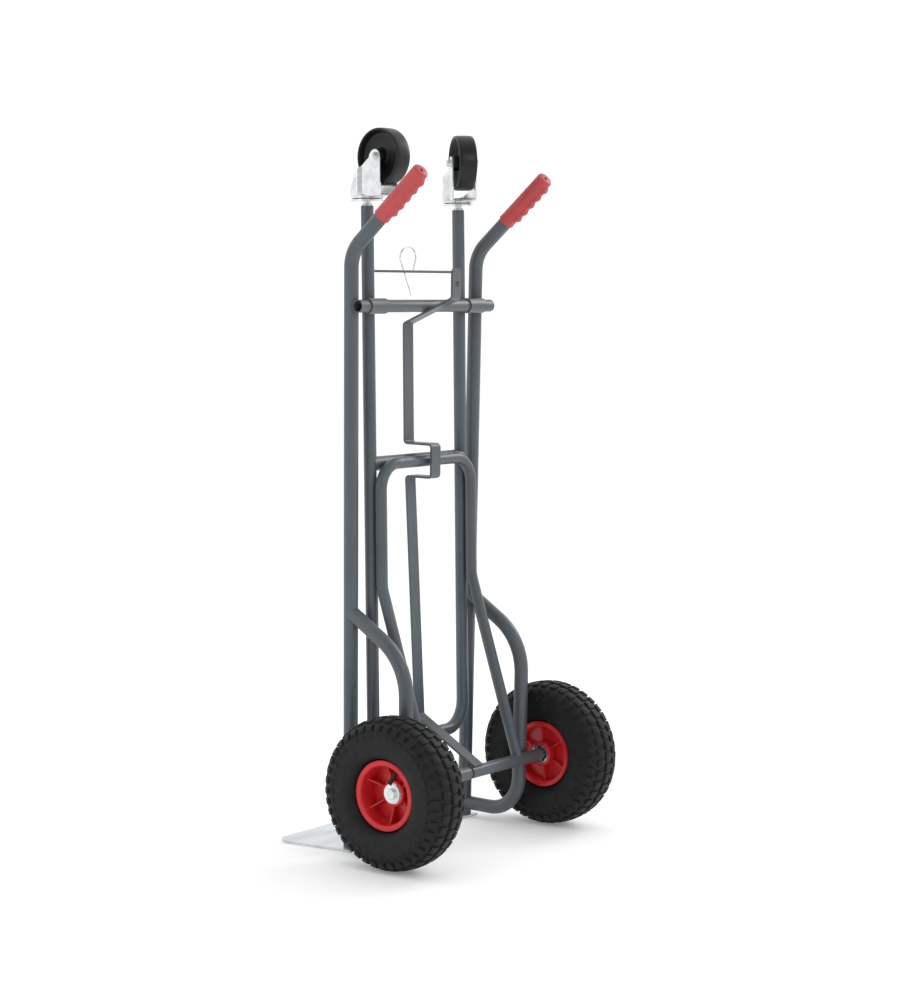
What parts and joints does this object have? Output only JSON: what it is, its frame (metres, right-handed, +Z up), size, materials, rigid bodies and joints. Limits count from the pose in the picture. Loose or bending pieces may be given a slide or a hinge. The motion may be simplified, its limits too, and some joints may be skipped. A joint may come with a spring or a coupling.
{
  "type": "hand truck",
  "caption": "Convertible upright hand truck with pneumatic wheels, bent-back grips, a toe plate and a swing-out castor frame.",
  "frame": {"origin": "on the floor under the toe plate, midway between the feet of the two uprights", "axes": "+Z up, +Y from the toe plate back to the operator, +X to the operator's left"},
  "size_m": [0.539, 0.412, 1.2378],
  "materials": {
    "powder_coat": "semi-gloss slate grey powder coat",
    "zinc": "bright zinc plate",
    "toe_plate": "smooth bright zinc plate",
    "red_grip": "satin soft PVC",
    "red_rim": "moulded polypropylene",
    "black_plastic": "moulded polypropylene",
    "tyre": "dull moulded rubber",
    "rubber": "dull rubber"
  },
  "bodies": {
    "main_frame": {"left_upright": "powder_coat", "right_upright": "powder_coat", "crossbar": "powder_coat", "centre_strut": "powder_coat", "rear_hoop": "powder_coat", "left_bow": "powder_coat", "right_bow": "powder_coat", "left_axle_tube": "powder_coat", "right_axle_tube": "powder_coat", "axle_rod": "zinc", "left_spacer": "powder_coat", "right_spacer": "powder_coat", "toe_plate": "toe_plate", "left_grip": "red_grip", "right_grip": "red_grip", "axle_end_washers": "zinc", "axle_end_bolts": "zinc", "left_bearing_inner_rings": "zinc", "right_bearing_inner_rings": "zinc"},
    "castor_frame": {"castor_frame_tube": "powder_coat", "castor_cross_tube": "powder_coat", "left_hinge_sleeve": "powder_coat", "right_hinge_sleeve": "powder_coat", "clip_rod": "powder_coat", "left_castor_stem": "zinc", "left_castor_race": "zinc", "left_castor_balls": "zinc", "right_castor_stem": "zinc", "right_castor_race": "zinc", "right_castor_balls": "zinc"},
    "left_wheel": {"left_tyre": "tyre", "left_inner_tube": "rubber", "left_rim": "red_rim", "left_bearing_outer_rings": "zinc", "left_bearing_balls": "zinc", "left_valve_cap": "rubber"},
    "left_castor": {"left_castor_fork": "zinc", "left_castor_bush": "zinc", "left_castor_bolt": "zinc", "left_castor_nut": "zinc"},
    "left_castor_roller": {"left_castor_wheel": "black_plastic"},
    "right_wheel": {"right_tyre": "tyre", "right_inner_tube": "rubber", "right_rim": "red_rim", "right_bearing_outer_rings": "zinc", "right_bearing_balls": "zinc", "right_valve_cap": "rubber"},
    "right_castor": {"right_castor_fork": "zinc", "right_castor_bush": "zinc", "right_castor_bolt": "zinc", "right_castor_nut": "zinc"},
    "right_castor_roller": {"right_castor_wheel": "black_plastic"},
    "clip": {"retaining_clip": "zinc"}
  },
  "joints": [
    {"name": "castor_frame_swing", "type": "hinge", "parent": "main_frame", "child": "castor_frame", "pos_m": [0, 0.0235, 0.938], "axis": [-1, 0, 0], "range_deg": [0, 90]},
    {"name": "left_wheel_spin", "type": "hinge", "parent": "main_frame", "child": "left_wheel", "pos_m": [0.227, 0.145, 0.13], "axis": [1, 0, 0], "continuous": true},
    {"name": "right_wheel_spin", "type": "hinge", "parent": "main_frame", "child": "right_wheel", "pos_m": [-0.227, 0.145, 0.13], "axis": [1, 0, 0], "continuous": true},
    {"name": "left_castor_swivel", "type": "hinge", "parent": "castor_frame", "child": "left_castor", "pos_m": [0.1285, -0.00574, 1.10725], "axis": [0, -0.0279, 0.9996], "continuous": true},
    {"name": "left_castor_spin", "type": "hinge", "parent": "left_castor", "child": "left_castor_roller", "pos_m": [0.13199, 0.03183, 1.18933], "axis": [0.9962, -0.0871, -0.0024], "continuous": true},
    {"name": "right_castor_swivel", "type": "hinge", "parent": "castor_frame", "child": "right_castor", "pos_m": [-0.1285, -0.00574, 1.10725], "axis": [0, -0.0279, 0.9996], "continuous": true},
    {"name": "right_castor_spin", "type": "hinge", "parent": "right_castor", "child": "right_castor_roller", "pos_m": [-0.10279, 0.02263, 1.18907], "axis": [0.766, -0.6425, -0.0179], "continuous": true},
    {"name": "clip_turn", "type": "hinge", "parent": "castor_frame", "child": "clip", "pos_m": [0.024, -0.00267, 0.99729], "axis": [1, 0, 0], "continuous": true}
  ]
}
